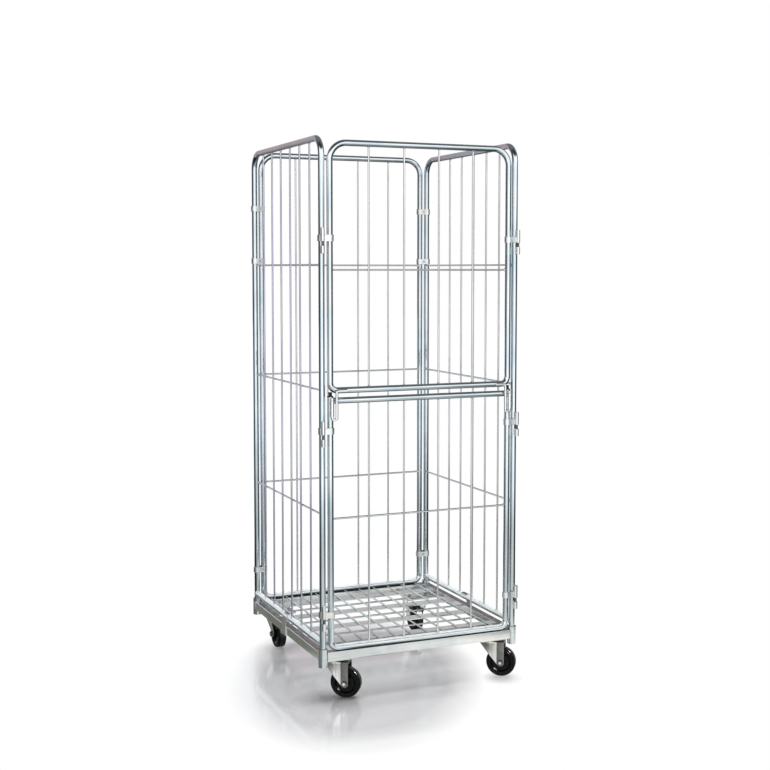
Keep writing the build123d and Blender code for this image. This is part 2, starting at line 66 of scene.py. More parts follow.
def connect(node, values):
    """Sets or links the sockets of a node."""
    for name, value in values.items():
        if isinstance(value, Shade):
            value.tree.links.new(value.socket, node.inputs[name])
        else:
            node.inputs[name].default_value = value


class Shade:
    """A socket in a node tree. Arithmetic on it adds Math nodes."""

    def __init__(self, tree, socket=None):
        self.tree = tree
        self.socket = socket

    def node(self, kind, settings, inputs, output=0):
        """Adds a node: its settings come first, then the values or links of its sockets."""
        made = self.tree.nodes.new(kind)
        for name, value in settings.items():
            if name == "stops":
                ramp = made.color_ramp.elements
                while len(ramp) < len(value):
                    ramp.new(1.0)
                for stop, (place, colour) in zip(ramp, value):
                    stop.position = place
                    stop.color = colour
            else:
                setattr(made, name, value)
        connect(made, inputs)
        return Shade(self.tree, made.outputs[output])

    def math(self, operation, first, second=0.0):
        return self.node("ShaderNodeMath", {"operation": operation}, {0: first, 1: second})

    def vector(self, operation, first, second=(0.0, 0.0, 0.0), output=0):
        return self.node("ShaderNodeVectorMath", {"operation": operation}, {0: first, 1: second}, output)

    def __add__(self, other):
        return self.math("ADD", self, other)

    def __sub__(self, other):
        return self.math("SUBTRACT", self, other)

    def __rsub__(self, other):
        return self.math("SUBTRACT", other, self)

    def __mul__(self, other):
        return self.math("MULTIPLY", self, other)

    __radd__ = __add__
    __rmul__ = __mul__

    def part(self, axis):
        """The X, Y or Z of this vector."""
        return self.node("ShaderNodeSeparateXYZ", {}, {"Vector": self}, axis)

    def reach(self, way):
        """How far this vector goes along a direction."""
        return self.vector("DOT_PRODUCT", self, tuple(way), "Value")

    def mapped(self, **change):
        """This place with a Location added or a Scale applied."""
        return self.node("ShaderNodeMapping", {}, {"Vector": self, **change})

    def noise(self, scale, detail, rough=0.5):
        """Noise that reads this socket as its place."""
        sizes = {"Vector": self, "Scale": scale, "Detail": detail, "Roughness": rough}
        return self.node("ShaderNodeTexNoise", {}, sizes)

    def span(self, low, high, start=0.0, end=1.0):
        """Maps low..high to start..end, held at both ends."""
        return self.node("ShaderNodeMapRange", {}, {0: self, 1: low, 2: high, 3: start, 4: end})

    def mix(self, first, second):
        """Blends two colours by this value."""
        return self.node("ShaderNodeMix", {"data_type": "RGBA"}, {0: self, 6: first, 7: second}, 2)

    def bump(self, strength, distance):
        """Normal of a surface that has this relief."""
        sizes = {"Strength": strength, "Distance": distance, "Height": self}
        return self.node("ShaderNodeBump", {}, sizes, "Normal")


def new_finish(name):
    """Empty material: itself, its shader node and its Object coordinates."""
    finish = bpy.data.materials.new(name)
    finish.use_nodes = True
    tree = finish.node_tree
    place = Shade(tree).node("ShaderNodeTexCoord", {}, {}, "Object")
    return finish, tree.nodes["Principled BSDF"], place


def darkened(colour, share):
    """The same tint at a share of its lightness."""
    return tuple(share * part for part in colour[:3]) + (1.0,)


straw = (0.80, 0.77, 0.66, 1.0)
painted_shade_grey = (0.105, 0.105, 0.10, 1.0)
# A dark film on what faces up low down is painted shade, for the shade under the rails; the pale film on the
# deck is dust.
painted_low_shade = ((0.12, 0.13, 0.115, 1.0), 0.0)
pale_dust = ((0.40, 0.41, 0.41, 1.0), 0.72)
dust_and_shade_starts_z = 0.30
dust_and_shade_full_z = 0.20
low_darkening_starts_z = 0.22
low_darkening_full_z = 0.04


def zinc_plating(name, pale, cool, rough, streak, shade_map=None, dust=painted_low_shade):
    """Bright zinc: clouds of cool and straw tint, rolling lines, rubbed patches, a film on what faces up low
    down, and patches darker towards the floor.

    rough is the least and the most roughness, and streak how finely the rolling lines lie along X, Y and Z.
    The map after streak, where given, takes the place to how far the surface is painted dark grey as shade.
    dust is the colour of the film on what faces up low down, and how far it hides the metal: dark for
    painted shade, pale for dust on the deck.
    """
    finish, shader, place = new_finish(name)
    cloud = place.noise(scale=7.0, detail=3.0, rough=0.55)
    warm_cloud = place.mapped(Location=(3.1, 1.7, 0.4)).noise(scale=4.5, detail=2.0)
    lines = place.mapped(Scale=streak).noise(scale=1.0, detail=4.0, rough=0.6)
    rubbed = place.noise(scale=38.0, detail=5.0, rough=0.65)
    crystal = place.noise(scale=420.0, detail=2.0, rough=0.6)
    tinted = cloud.span(0.42, 0.68).mix(pale, cool)
    warm = (warm_cloud.span(0.50, 0.72) * 0.45).mix(tinted, straw)
    streaked = (lines.span(0.50, 0.78) * 0.30).mix(warm, darkened(cool, 0.70))
    height = place.part("Z")
    upward = place.node("ShaderNodeNewGeometry", {}, {}, "Normal").part("Z").span(0.75, 0.97)
    # Painted shade on most pieces, and dust on the deck: a film on what faces up low down.
    settled_dust_and_shade = upward * height.span(dust_and_shade_starts_z, dust_and_shade_full_z) * rubbed.span(0.25, 0.75, 0.45, 0.85)
    # Patches darker towards the floor.
    low_darkening = height.span(low_darkening_starts_z, low_darkening_full_z) * cloud.span(0.46, 0.72) * 0.15
    grime_and_shade = settled_dust_and_shade + low_darkening
    dust_and_shade_colour, dust_cover = dust
    colour = grime_and_shade.mix(streaked, dust_and_shade_colour)
    roughness = rubbed.span(0.30, 0.72, *rough) + lines.span(0.45, 0.80) * 0.06 + grime_and_shade * 0.25
    # Painted shade: dark grey where the given map asks, a little rougher.
    if shade_map:
        shade_share = shade_map(place) * rubbed.span(0.25, 0.75, 0.85, 1.0)
        colour = shade_share.mix(colour, painted_shade_grey)
        roughness = roughness + shade_share * 0.10
    metal = 1.0 - grime_and_shade * dust_cover if dust_cover else 1.0
    normal = (crystal * 0.4 + lines * 0.6).bump(strength=0.03, distance=0.0004)
    connect(shader, {"Base Color": colour, "Metallic": metal, "Roughness": roughness, "Normal": normal})
    return finish


def keep(name, mesh, body, slot_name, *stands_for):
    """Puts a finished mesh in the scene on its body, in place of the CAD nodes it stands for."""
    piece = bpy.data.objects.new(name, mesh)
    bpy.context.scene.collection.objects.link(piece)
    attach(piece, body)
    if stands_for:
        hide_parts(*stands_for)


merge_reach = 0.000002
flat_angle = math.radians(0.3)
cut_angle = math.radians(40)
plate_crease = math.radians(24)


def eased(node, body, slot_name, finish, chamfer):
    """Copy of a CAD node with its cut edges broken by a small chamfer, in place of that node."""
    work = bmesh.new()
    work.from_mesh(nodes[node].data)
    bmesh.ops.remove_doubles(work, verts=work.verts, dist=merge_reach)
    bmesh.ops.dissolve_limit(work, angle_limit=flat_angle, verts=work.verts, edges=work.edges)
    cut = [edge for edge in work.edges if edge.is_manifold and edge.calc_face_angle() > cut_angle]
    bmesh.ops.bevel(work, geom=cut, offset=chamfer, segments=1, affect="EDGES", clamp_overlap=False)
    bmesh.ops.recalc_face_normals(work, faces=work.faces)
    mesh = bpy.data.meshes.new(node + "_eased")
    work.to_mesh(mesh)
    work.free()
    mesh.shade_smooth()
    mesh.set_sharp_from_angle(angle=plate_crease)
    mesh.materials.append(finish)
    keep(node + "_eased", mesh, body, slot_name, node)


beam_pale = (0.82, 0.83, 0.82, 1.0)
beam_cool = (0.69, 0.74, 0.75, 1.0)
socket_pale = (0.74, 0.79, 0.80, 1.0)
socket_cool = (0.58, 0.66, 0.69, 1.0)
rolled_level = (5.0, 5.0, 260.0)
rolled_across = (5.0, 260.0, 260.0)
beam_edge = 0.0006
beam_zinc = zinc_plating("beam_zinc", beam_pale, beam_cool, (0.13, 0.22), rolled_level)
for side in ("front", "rear", "left", "right"):
    eased(f"{side}_beam", "container", "base_zinc", beam_zinc, beam_edge)
deck_zinc = zinc_plating("deck_zinc", beam_pale, beam_cool, (0.16, 0.28), rolled_across, dust=pale_dust)
for node in ("castor_gussets", "deck_bars"):
    eased(node, "container", "base_zinc", deck_zinc, beam_edge)
corners = [f"{row}_{hand}" for row in ("front", "rear") for hand in ("left", "right")]
socket_zinc = zinc_plating("socket_zinc", socket_pale, socket_cool, (0.06, 0.13), rolled_level)
for corner in corners:
    eased(f"{corner}_socket", "container", "base_zinc", socket_zinc, beam_edge)


# Castors: pressed steel forks, plates and races, zinc plated after pressing, with turned sleeves
# that the wheels run on. The flat legs and the nose of a swivel fork are painted dark grey as shade,
# with faint stripes of it across the flange, and the plates and races are painted dark as shade.

castor_pale = (0.98, 0.97, 0.95, 1.0)
castor_cool = (0.93, 0.94, 0.93, 1.0)
# The castor plates and races are painted dark grey as shade, for the shade under the beams.
race_shade_pale = (0.34, 0.35, 0.35, 1.0)
race_shade_cool = (0.22, 0.24, 0.25, 1.0)
press_lines = (160.0, 160.0, 8.0)
press_edge = 0.0005
fold_to_leg = 0.0315
fold_blend = 0.0006
fold_to_nose = -0.002
nose_blend = 0.012
leg_front = 0.034
leg_rear = 0.066
shade_stripe_rate = 520.0
levelled = Vector((1.0, 1.0, 0.0))
joints = {joint["name"]: joint for joint in frame["record"]["behaviour"]["joints"]}


def painted_fork_shade(swivel_axis, trail_way):
    """Map of painted shade on a swivel fork: 1 on its flat legs and its nose, 0 on the flange between them,
    with faint stripes across the flange and the legs a little lighter away from the fold.
    """

    def share(place):
        behind = place.reach(trail_way) - swivel_axis.dot(trail_way)
        leg = behind.span(fold_to_leg - fold_blend, fold_to_leg + fold_blend)
        nose = behind.span(fold_to_nose + nose_blend, fold_to_nose)
        shade_stripes = place.math("SINE", behind * shade_stripe_rate).span(0.2, 1.0) * (1.0 - leg)
        return leg * behind.span(leg_front, leg_rear, 1.0, 0.86) + nose * 0.78 + shade_stripes * 0.16

    return share


castor_zinc = zinc_plating("castor_zinc", castor_pale, castor_cool, (0.16, 0.30), press_lines)
race_shade_zinc = zinc_plating("race_shade_zinc", race_shade_pale, race_shade_cool, (0.18, 0.32), press_lines)
for hand in ("left", "right"):
    swivel_axis = Vector(joints[f"front_{hand}_swivel_turn"]["pos_m"])
    axle_place = Vector(joints[f"front_{hand}_wheel_spin"]["pos_m"])
    trail_way = ((axle_place - swivel_axis) * levelled).normalized()
    # Painted shade on the legs and nose of each swivel fork.
    fork_zinc = zinc_plating(f"front_{hand}_fork_zinc", castor_pale, castor_cool, (0.14, 0.28), press_lines,
                             painted_fork_shade(swivel_axis, trail_way))
    eased(f"front_{hand}_fork", f"front_{hand}_swivel", "castor_zinc", fork_zinc, press_edge)
    eased(f"rear_{hand}_fork", "container", "castor_zinc", castor_zinc, press_edge)
    eased(f"front_{hand}_castor_plate", "container", "castor_zinc", race_shade_zinc, press_edge)
    eased(f"front_{hand}_swivel_race", "container", "castor_zinc", race_shade_zinc, press_edge)
    for row, body in (("front", f"front_{hand}_swivel"), ("rear", "container")):
        eased(f"{row}_{hand}_axle_sleeve", body, "castor_zinc", castor_zinc, press_edge)


# Fasteners: hexagon bolts, nuts, axles and king pins of cold-headed steel, bright zinc plated.
# Spanner marks leave rubbed, slightly duller flats. An axle's head has painted shade round its rim
# and a painted highlight in its middle.

bolt_pale = (0.80, 0.80, 0.78, 1.0)
bolt_cool = (0.62, 0.66, 0.69, 1.0)
axle_pale = (0.92, 0.92, 0.91, 1.0)
axle_cool = (0.80, 0.82, 0.83, 1.0)
headed_grain = (300.0, 300.0, 300.0)
bolt_edge = 0.0006
highlight_inner = 0.0037
highlight_outer = 0.0050
bolt_zinc = zinc_plating("bolt_zinc", bolt_pale, bolt_cool, (0.16, 0.30), headed_grain)
for node in ("castor_bolts", "rear_clamp_bolts", "front_left_king_pin", "front_right_king_pin"):
    eased(node, "container", "fastener_zinc", bolt_zinc, bolt_edge)


def about_axle(place, centre, axle):
    """Distance along an axle's line from its centre, and distance from that line."""
    moved = place.vector("SUBTRACT", place, tuple(centre))
    across = moved.reach(axle)
    sideways = place.node("ShaderNodeVectorMath", {"operation": "SCALE"}, {0: tuple(axle), "Scale": across})
    outward = place.vector("SUBTRACT", moved, sideways)
    return across, outward.vector("LENGTH", outward, output="Value")


def shaded_axle_rim(centre, axle):
    """Map of an axle: 1 on the outer ring of its head, painted shade, 0 on its middle, left bright as a
    painted highlight.
    """

    def share(place):
        along, radius = about_axle(place, centre, axle)
        return radius.span(highlight_inner, highlight_outer)

    return share


axle_lines = {}
for corner in corners:
    spin = joints[f"{corner}_wheel_spin"]
    axle_lines[corner] = (Vector(spin["pos_m"]), Vector(spin["axis"]).normalized())
    # Painted shade round the rim of each axle's head, and a painted highlight in its middle.
    axle_zinc = zinc_plating(f"{corner}_axle_zinc", axle_pale, axle_cool, (0.20, 0.34), headed_grain,
                             shaded_axle_rim(*axle_lines[corner]))
    eased(f"{corner}_axle", spin["parent"], "fastener_zinc", axle_zinc, bolt_edge)


# Wheels: solid black wheels, moulded in one piece with a glossy skin. The side has a raised rim with
# a turned groove, a thin web and a long hub, and the tread is scuffed grey where it rolls.

wheel_radius = 0.050
wheel_half = 0.015
tread_crown = 0.0004
tread_depth = 0.0022
scuff_starts = 0.004
scuff_full = 0.009
hub_radius = 0.014
hub_half = 0.022
hub_taper = 0.0008
bore_radius = 0.0077
web_half = 0.008
rim_inner = 0.035
rim_slope = 0.0050
groove_radius = 0.0425
groove_half = 0.0006
groove_depth = 0.0007
turning_steps = 96
wheel_crease = math.radians(32)


def rounded(outline, steps=5):
    """Points of a closed outline of (radius, across, rounding), each corner eased by a parabola."""
    points = []
    for i, (radius, across, rounding) in enumerate(outline):
        corner = Vector((radius, across))
        before = (Vector(outline[i - 1][:2]) - corner).normalized() * rounding
        after = (Vector(outline[(i + 1) % len(outline)][:2]) - corner).normalized() * rounding
        for k in range(steps):
            t = k / (steps - 1)
            points.append(corner + before * (1 - t) ** 2 + after * t ** 2)
    return points


def wheel_outline():
    """Half section of a wheel: bore, hub, web, rim with its groove, and tread."""
    side = [
        (bore_radius, hub_half, 0.0005),
        (hub_radius, hub_half, 0.0012),
        (hub_radius + hub_taper, web_half, 0.0030),
        (rim_inner - rim_slope, web_half, 0.0025),
        (rim_inner, wheel_half, 0.0016),
        (groove_radius - groove_half, wheel_half, 0.0002),
        (groove_radius, wheel_half - groove_depth, 0.0002),
        (groove_radius + groove_half, wheel_half, 0.0002),
        (wheel_radius - tread_crown, wheel_half, 0.0055),
        (wheel_radius, wheel_half / 2, 0.0020),
    ]
    return side + [(radius, -across, rounding) for radius, across, rounding in reversed(side)]


def turned(name, centre, axle):
    """Solid of revolution of the wheel's section about its axle."""
    section = rounded(wheel_outline())
    up = Vector((0.0, 0.0, 1.0))
    level_shade = axle.cross(up)
    points = []
    for step in range(turning_steps):
        angle = 2 * math.pi * step / turning_steps
        spoke = level_shade * math.cos(angle) + up * math.sin(angle)
        points += [centre + spoke * radius + axle * across for radius, across in section]
    count = len(section)
    faces = []
    for step in range(turning_steps):
        here = step * count
        there = (step + 1) % turning_steps * count
        for i in range(count):
            k = (i + 1) % count
            faces.append((here + i, here + k, there + k, there + i))
    work = bmesh.new()
    mesh = bpy.data.meshes.new(name)
    mesh.from_pydata(points, [], faces)
    work.from_mesh(mesh)
    bmesh.ops.recalc_face_normals(work, faces=work.faces)
    work.to_mesh(mesh)
    work.free()
    mesh.shade_smooth()
    mesh.set_sharp_from_angle(angle=wheel_crease)
    return mesh


skin_black = (0.0045, 0.0045, 0.005, 1.0)
film_grey = (0.020, 0.020, 0.020, 1.0)
scuff_grey = (0.050, 0.049, 0.047, 1.0)
turned_ring_rate = 5200.0


def wheel_black(name, centre, axle):
    """Glossy black moulding with fine rings about the axle and a scuffed tread."""
    finish, shader, place = new_finish(name)
    moved = place.vector("SUBTRACT", place, tuple(centre))
    across, radius = about_axle(place, centre, axle)
    rings = place.math("SINE", radius * turned_ring_rate)
    dust = moved.noise(scale=45.0, detail=5.0, rough=0.65)
    fleck = moved.noise(scale=600.0, detail=3.0, rough=0.6)
    tread = radius.span(wheel_radius - tread_depth, wheel_radius - tread_crown)
    middle = place.math("ABSOLUTE", across).span(wheel_half - scuff_starts, wheel_half - scuff_full)
    scuff = tread * middle * dust.span(0.25, 0.60, 0.35, 1.0)
    black = (dust.span(0.50, 0.78) * 0.30).mix(skin_black, film_grey)
    worn = (scuff * 0.80).mix(black, scuff_grey)
    roughness = dust.span(0.3, 0.7, 0.07, 0.16) + scuff * 0.35
    normal = (rings * 0.25 + fleck * 0.5).bump(strength=0.06, distance=0.0004)
    connect(shader, {"Base Color": worn, "Roughness": roughness, "Normal": normal,
                     "Specular IOR Level": 0.12})
    return finish


for corner, (centre, axle) in axle_lines.items():
    wheel = turned(f"{corner}_wheel_turned", centre, axle)
    wheel.materials.append(wheel_black(f"{corner}_wheel_black", centre, axle))
    keep(f"{corner}_wheel_turned", wheel, f"{corner}_wheel", "wheel_black", f"{corner}_wheel")


# Deck wires: drawn steel wire laid from front to back over the flat bars, with cross wires below,
# resistance welded at each crossing, where the metal is squeezed out into a small collar.

def start_tree(name, sizes):
    """New geometry node tree with named inputs: itself and each input's socket."""
    tree = bpy.data.node_groups.new(name, "GeometryNodeTree")
    inputs = {"Geometry": "NodeSocketGeometry", **sizes, "Material": "NodeSocketMaterial"}
    for label, kind in inputs.items():
        tree.interface.new_socket(label, in_out="INPUT", socket_type=kind)
    tree.interface.new_socket("Geometry", in_out="OUTPUT", socket_type="NodeSocketGeometry")
    given = tree.nodes.new("NodeGroupInput")
    return tree, {label: Shade(tree, given.outputs[label]) for label in inputs}


def end_tree(tree, shape, material):
    """Ends a geometry node tree in smooth, real faces with their material."""
    smooth = shape.node("GeometryNodeSetShadeSmooth", {}, {"Geometry": shape})
    real = shape.node("GeometryNodeRealizeInstances", {}, {"Geometry": smooth})
    painted = shape.node("GeometryNodeSetMaterial", {}, {"Geometry": real, "Material": material})
    connect(tree.nodes.new("NodeGroupOutput"), {"Geometry": painted})


def named_attribute(socket, name, kind):
    """Value that the points carry under a name."""
    settings = {"data_type": kind}
    return socket.node("GeometryNodeInputNamedAttribute", settings, {"Name": name}, "Attribute")


def stored(shape, name, kind, value):
    """The shape with a value kept on its points under a name."""
    settings = {"data_type": kind, "domain": "POINT"}
    inputs = {"Geometry": shape, "Name": name, "Value": value}
    return shape.node("GeometryNodeStoreNamedAttribute", settings, inputs)


def tube_tree():
    """Geometry nodes that sweep a round bar along each run of edges and round its corners."""
    sizes = {"Diameter": "NodeSocketFloat", "Sides": "NodeSocketInt", "Bend steps": "NodeSocketInt"}
    tree, given = start_tree("bent_round_bar", sizes)
    path = Shade(tree).node("GeometryNodeMeshToCurve", {}, {"Mesh": given["Geometry"]})
    bends = {"Curve": path, "Radius": named_attribute(path, "bend", "FLOAT"), "Count": given["Bend steps"],
             "Limit Radius": True}
    bent = path.node("GeometryNodeFilletCurve", {"mode": "POLY"}, bends)
    length = path.node("GeometryNodeSplineParameter", {}, {}, "Length")
    line = stored(bent, "along", "FLOAT", length)
    circle = {"Radius": given["Diameter"] * 0.5, "Resolution": given["Sides"]}
    ring = path.node("GeometryNodeCurvePrimitiveCircle", {}, circle)
    section = stored(ring, "ring", "FLOAT_VECTOR", path.node("GeometryNodeInputPosition", {}, {}))
    sweep = {"Curve": line, "Profile Curve": section, "Fill Caps": True}
    end_tree(tree, path.node("GeometryNodeCurveToMesh", {}, sweep), given["Material"])
    return tree


round_bar = tube_tree()
bend_steps = 12
bar_crease = math.radians(40)


def grown(name, mesh, tree, sizes):
    """Runs a geometry node tree on a mesh and gives the result as a plain mesh."""
    piece = bpy.data.objects.new(name, mesh)
    bpy.context.scene.collection.objects.link(piece)
    maker = piece.modifiers.new("maker", "NODES")
    maker.node_group = tree
    for item in tree.interface.items_tree:
        if item.in_out == "INPUT" and item.name in sizes:
            maker[item.identifier] = sizes[item.name]
    scene_now = bpy.context.evaluated_depsgraph_get()
    result = bpy.data.meshes.new_from_object(piece.evaluated_get(scene_now))
    piece.modifiers.remove(maker)
    bpy.data.objects.remove(piece)
    result.set_sharp_from_angle(angle=bar_crease)
    return result


def round_bars(name, lines, diameter, sides, finish, body, slot_name, *stands_for):
    """Round bars along lines of (points, bend radii at the points, closed)."""
    mesh = bpy.data.meshes.new(name + "_lines")
    points = []
    radii = []
    edges = []
    for line, bends, closed in lines:
        first = len(points)
        points += line
        radii += bends
        edges += [(first + i, first + i + 1) for i in range(len(line) - 1)]
        if closed:
            edges.append((first + len(line) - 1, first))
    mesh.from_pydata(points, edges, [])
    mesh.attributes.new("bend", "FLOAT", "POINT").data.foreach_set("value", radii)
    sizes = {"Diameter": diameter, "Sides": sides, "Bend steps": bend_steps, "Material": finish}
    keep(name, grown(name, mesh, round_bar, sizes), body, slot_name, *stands_for)


def straight(start, end):
    """Line of one straight bar."""
    return ([start, end], [0.0, 0.0], False)


chalk_and_lit_top_white = (0.88, 0.89, 0.88, 1.0)
chalk_and_lit_top_starts_z = 0.30
chalk_and_lit_top_full_z = 0.24
draw_line_rate = 420.0


def drawn_zinc(name, pale, cool, rough, bloom_and_lit_top=0.0, level_shade_share=0.0):
    """Zinc on drawn tube or wire: tints in clouds, and draw lines that follow the bar round its bends.

    Its underside is painted darker as shade. rough is the least and the most roughness, the bloom share is
    how far low rails go chalky on top, which also paints those tops lighter as light, and the level share
    how far wires that lie level are painted darker as shade, all round but their sides.
    """
    finish, shader, place = new_finish(name)
    along = place.node("ShaderNodeAttribute", {"attribute_name": "along"}, {}, "Fac")
    ring = place.node("ShaderNodeAttribute", {"attribute_name": "ring"}, {}, "Vector")
    flow = {axis: ring.part(axis) * draw_line_rate for axis in "XY"}
    flow["Z"] = along * 5.0
    lines = place.node("ShaderNodeCombineXYZ", {}, flow).noise(scale=1.0, detail=4.0, rough=0.6)
    cloud = place.noise(scale=6.0, detail=3.0, rough=0.55)
    warm_cloud = place.mapped(Location=(1.3, 4.2, 2.6)).noise(scale=3.5, detail=2.0)
    rubbed = place.noise(scale=48.0, detail=5.0, rough=0.65)
    crystal = place.noise(scale=520.0, detail=2.0, rough=0.6)
    tinted = cloud.span(0.40, 0.66).mix(pale, cool)
    warm = (warm_cloud.span(0.54, 0.74) * 0.30).mix(tinted, straw)
    drawn = (lines.span(0.52, 0.76) * 0.30).mix(warm, darkened(cool, 0.68))
    tilt = place.node("ShaderNodeNewGeometry", {}, {}, "Normal").part("Z")
    # Painted shade: undersides darker.
    painted_bar_shade = tilt.span(-0.25, -0.75) * 0.90
    # Painted shade: wires that lie level are darker all round but their sides.
    if level_shade_share:
        level_shade = place.math("ABSOLUTE", tilt).span(0.04, 0.40) * level_shade_share
        painted_bar_shade = place.math("MAXIMUM", painted_bar_shade, level_shade)
    colour = painted_bar_shade.mix(drawn, darkened(cool, 0.18))
    roughness = rubbed.span(0.30, 0.72, *rough) + lines.span(0.45, 0.80) * 0.05
    metal = 1.0
    # A chalky bloom on what faces up low down, which also paints the tops of low rails lighter as light.
    if bloom_and_lit_top:
        low_down = place.part("Z").span(chalk_and_lit_top_starts_z, chalk_and_lit_top_full_z)
        chalk_and_lit_top = tilt.span(0.25, 0.75) * low_down * rubbed.span(0.25, 0.75, 0.6, 1.0) * bloom_and_lit_top
        colour = chalk_and_lit_top.mix(colour, chalk_and_lit_top_white)
        roughness = roughness + chalk_and_lit_top * 0.35
        metal = 1.0 - chalk_and_lit_top
    normal = (crystal * 0.4 + lines * 0.6).bump(strength=0.05, distance=0.0005)
    connect(shader, {"Base Color": colour, "Metallic": metal, "Roughness": roughness, "Normal": normal})
    return finish


weld_pale = (0.93, 0.90, 0.82, 1.0)
weld_dull = (0.72, 0.70, 0.65, 1.0)
ripple_rate = 4200.0


def weld_zinc():
    """Plated weld metal: ripples along a bead, a grainy skin and a duller grey than the bars."""
    finish, shader, place = new_finish("weld_zinc")
    along = place.node("ShaderNodeAttribute", {"attribute_name": "along"}, {}, "Fac")
    ripple = place.math("SINE", along * ripple_rate)
    grain = place.noise(scale=700.0, detail=3.0, rough=0.6)
    patch = place.noise(scale=160.0, detail=3.0, rough=0.6)
    colour = patch.span(0.40, 0.70).mix(weld_pale, weld_dull)
    normal = (ripple * 0.5 + grain * 0.8).bump(strength=0.25, distance=0.0005)
    connect(shader, {"Base Color": colour, "Metallic": 1.0, "Roughness": patch.span(0.3, 0.7, 0.26, 0.42),
                     "Normal": normal})
    return finish


collar_sizes = ("Foot radius", "Neck radius", "Height", "Sink")
collar_sides = 12
collar_rings = 2
least_collar = 0.88
most_collar = 1.10


def collar_tree():
    """Geometry nodes that set a weld collar on each point, its neck along the point's facing."""
    sizes = dict.fromkeys(collar_sizes, "NodeSocketFloat")
    tree, given = start_tree("weld_collar", {**sizes, "Seed": "NodeSocketInt"})
    spots = given["Geometry"]
    cone = {"Vertices": collar_sides, "Side Segments": collar_rings, "Radius Bottom": given["Foot radius"],
            "Radius Top": given["Neck radius"], "Depth": given["Height"]}
    collar = spots.node("GeometryNodeMeshCone", {}, cone)
    drop = spots.node("ShaderNodeCombineXYZ", {}, {"Z": given["Sink"] * -1.0})
    sunk = spots.node("GeometryNodeTransform", {}, {"Geometry": collar, "Translation": drop})
    facing = {"Vector": named_attribute(spots, "facing", "FLOAT_VECTOR")}
    aim = spots.node("FunctionNodeAlignRotationToVector", {"axis": "Z"}, facing)
    limits = {2: least_collar, 3: most_collar, "Seed": given["Seed"]}
    uneven = spots.node("FunctionNodeRandomValue", {"data_type": "FLOAT"}, limits, 1)
    copies = {"Points": spots, "Instance": sunk, "Rotation": aim, "Scale": uneven}
    end_tree(tree, spots.node("GeometryNodeInstanceOnPoints", {}, copies), given["Material"])
    return tree


weld_collar = collar_tree()
weld_metal = weld_zinc()
weld_seed = 7


def collars(name, spots, sizes, body):
    """Weld collars of (foot radius, neck radius, height, sink) at spots of (place, facing)."""
    mesh = bpy.data.meshes.new(name + "_spots")
    mesh.from_pydata([place for place, facing in spots], [], [])
    ways = [part for place, facing in spots for part in facing]
    mesh.attributes.new("facing", "FLOAT_VECTOR", "POINT").data.foreach_set("vector", ways)
    inputs = {**dict(zip(collar_sizes, sizes)), "Seed": weld_seed, "Material": weld_metal}
    keep(name, grown(name, mesh, weld_collar, inputs), body, "wire_zinc")


def spaced(count, pitch):
    """Places of a row of like pieces, evenly about the middle."""
    return [(i - (count - 1) / 2) * pitch for i in range(count)]


wire_diameter = 0.006
wire_radius = wire_diameter / 2
wire_sides = 14
deck_wire_count = 11
deck_wire_pitch = 0.058
deck_tie_count = 3
deck_bar_count = 4
deck_bar_pitch = 0.165
squeeze_radius = 0.0029
squeeze_height = 0.0026
squeeze_collar = (squeeze_radius, squeeze_radius, squeeze_height, squeeze_height / 2)
wire_pale = (0.78, 0.81, 0.82, 1.0)
wire_cool = (0.62, 0.69, 0.71, 1.0)
wire_zinc = drawn_zinc("wire_zinc", wire_pale, wire_cool, (0.08, 0.18))
low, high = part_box("deck_wires")
deck_top_z = high.z - wire_radius
deck_tie_z = low.z + wire_radius
deck_wire_x = spaced(deck_wire_count, deck_wire_pitch)
deck_tie_y = spaced(deck_tie_count, deck_bar_pitch)
deck_bar_y = spaced(deck_bar_count, deck_bar_pitch)
deck_lines = [straight((x, low.y, deck_top_z), (x, high.y, deck_top_z)) for x in deck_wire_x]
deck_lines += [straight((low.x, y, deck_tie_z), (high.x, y, deck_tie_z)) for y in deck_tie_y]
round_bars("deck_wire_grid", deck_lines, wire_diameter, wire_sides, wire_zinc, "container", "wire_zinc",
           "deck_wires")
squeeze_z = deck_top_z - wire_radius
deck_spots = [((x, y, squeeze_z), (0, 0, 1)) for x in deck_wire_x for y in deck_tie_y + deck_bar_y]
collars("deck_welds", deck_spots, squeeze_collar, "container")


# Side panels: each is one length of round tube bent into an upside-down U, whose legs are the posts,
# with a rail welded between the legs. Wires are butt welded between the rails, and level wires lie
# against their inner side. The left panel's wires are tinted purple and painted darker as shade, and
# the right panel's are painted lighter as light.

tube_diameter = 0.020
tube_radius = tube_diameter / 2
tube_sides = 32
top_bend = 0.055
side_rail_z = 0.195
weld_gap = 0.0002
butt_foot = 0.0052
butt_neck = 0.0030
butt_height = 0.0048
butt_sink = 0.0019
butt_collar = (butt_foot, butt_neck, butt_height, butt_sink)
bead_diameter = 0.0030
bead_sides = 8
saddle_steps = 32
saddle_proud = 1.02
tube_pale = (0.77, 0.82, 0.85, 1.0)
tube_cool = (0.60, 0.70, 0.75, 1.0)
tube_zinc = drawn_zinc("tube_zinc", tube_pale, tube_cool, (0.05, 0.12), bloom_and_lit_top=0.85)
# The left panel's wires are painted darker as shade, the right panel's lighter as light.
left_wire_shaded_pale = (0.80, 0.75, 0.90, 1.0)
left_wire_shaded_cool = (0.67, 0.62, 0.80, 1.0)
right_wire_lit_pale = (0.95, 0.94, 0.96, 1.0)
right_wire_lit_cool = (0.84, 0.84, 0.88, 1.0)
level_shade_share = 0.50
left_wire_shaded_zinc = drawn_zinc("left_wire_shaded_zinc", left_wire_shaded_pale, left_wire_shaded_cool, (0.08, 0.18),
                            level_shade_share=level_shade_share)
right_wire_lit_zinc = drawn_zinc("right_wire_lit_zinc", right_wire_lit_pale, right_wire_lit_cool, (0.12, 0.22),
                             level_shade_share=level_shade_share)
wire_end = tube_radius + weld_gap
level_offset = wire_diameter + weld_gap


